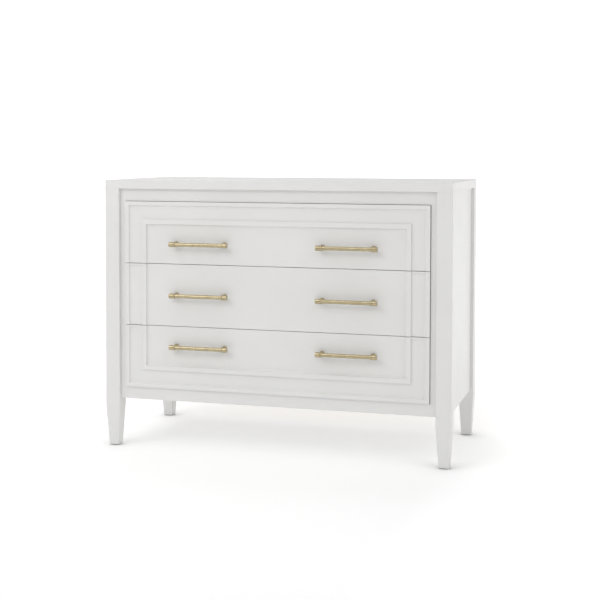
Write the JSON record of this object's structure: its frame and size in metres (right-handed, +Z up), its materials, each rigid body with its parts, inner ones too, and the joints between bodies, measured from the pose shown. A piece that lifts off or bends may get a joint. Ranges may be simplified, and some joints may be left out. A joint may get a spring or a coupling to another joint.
{
  "type": "chest of drawers",
  "caption": "Low white chest of drawers on square posts with tapered feet, nested mouldings round the drawer fronts and satin brass bar pulls; the drawers run on telescopic slides.",
  "frame": {"origin": "bottom centre of the whole chest's bounding box, pulls included, on the floor", "axes": "+Z up, +X to the right seen from the front, the drawer fronts face -Y"},
  "size_m": [1.118, 0.528, 0.857],
  "materials": {
    "white_paint": "satin white lacquer over wood",
    "drawer_wood": "clear-coated hardwood",
    "bare_wood": "planed, uncoated hardwood",
    "plywood": "sanded plywood",
    "satin_brass": "satin champagne brass",
    "zinc_steel": "bright zinc plated",
    "screw_steel": "zinc plated",
    "nylon": "moulded nylon"
  },
  "bodies": {
    "case": {"top_slab": "white_paint", "post_front_left": "white_paint", "post_front_right": "white_paint", "post_rear_left": "white_paint", "post_rear_right": "white_paint", "frieze_rail": "white_paint", "bottom_rail": "white_paint", "stile_left": "white_paint", "stile_right": "white_paint", "side_panel_left": "white_paint", "side_panel_right": "white_paint", "back_panel": "plywood", "rear_rail_upper": "bare_wood", "rear_rail_lower": "bare_wood", "bottom_panel": "bare_wood", "divider_rail_upper": "bare_wood", "divider_rail_lower": "bare_wood", "foot_glides": "nylon", "back_screws": "screw_steel", "slide_cleats_top": "bare_wood", "slide_cleats_middle": "bare_wood", "slide_cleats_bottom": "bare_wood", "slide_case_member_top": "zinc_steel", "slide_case_member_middle": "zinc_steel", "slide_case_member_bottom": "zinc_steel"},
    "drawer_top": {"drawer_front_top": "white_paint", "box_front_top": "drawer_wood", "box_side_left_top": "drawer_wood", "box_side_right_top": "drawer_wood", "box_back_top": "drawer_wood", "box_bottom_top": "plywood", "pull_top_left": "satin_brass", "pull_top_right": "satin_brass", "pull_screws_top": "screw_steel", "slide_drawer_member_top": "zinc_steel"},
    "runner_top": {"slide_middle_member_top": "zinc_steel"},
    "drawer_middle": {"drawer_front_middle": "white_paint", "box_front_middle": "drawer_wood", "box_side_left_middle": "drawer_wood", "box_side_right_middle": "drawer_wood", "box_back_middle": "drawer_wood", "box_bottom_middle": "plywood", "pull_middle_left": "satin_brass", "pull_middle_right": "satin_brass", "pull_screws_middle": "screw_steel", "slide_drawer_member_middle": "zinc_steel"},
    "runner_middle": {"slide_middle_member_middle": "zinc_steel"},
    "drawer_bottom": {"drawer_front_bottom": "white_paint", "box_front_bottom": "drawer_wood", "box_side_left_bottom": "drawer_wood", "box_side_right_bottom": "drawer_wood", "box_back_bottom": "drawer_wood", "box_bottom_bottom": "plywood", "pull_bottom_left": "satin_brass", "pull_bottom_right": "satin_brass", "pull_screws_bottom": "screw_steel", "slide_drawer_member_bottom": "zinc_steel"},
    "runner_bottom": {"slide_middle_member_bottom": "zinc_steel"}
  },
  "joints": [
    {"name": "drawer_top_slide", "type": "slide", "parent": "case", "child": "drawer_top", "axis": [0, -1, 0], "range_m": [0, 0.38]},
    {"name": "runner_top_slide", "type": "slide", "parent": "case", "child": "runner_top", "axis": [0, -1, 0], "range_m": [0, 0.19]},
    {"name": "drawer_middle_slide", "type": "slide", "parent": "case", "child": "drawer_middle", "axis": [0, -1, 0], "range_m": [0, 0.38]},
    {"name": "runner_middle_slide", "type": "slide", "parent": "case", "child": "runner_middle", "axis": [0, -1, 0], "range_m": [0, 0.19]},
    {"name": "drawer_bottom_slide", "type": "slide", "parent": "case", "child": "drawer_bottom", "axis": [0, -1, 0], "range_m": [0, 0.38]},
    {"name": "runner_bottom_slide", "type": "slide", "parent": "case", "child": "runner_bottom", "axis": [0, -1, 0], "range_m": [0, 0.19]}
  ],
  "couplings": [
    {"joint": "runner_top_slide", "follows": "drawer_top_slide", "ratio": 0.5},
    {"joint": "runner_middle_slide", "follows": "drawer_middle_slide", "ratio": 0.5},
    {"joint": "runner_bottom_slide", "follows": "drawer_bottom_slide", "ratio": 0.5}
  ]
}
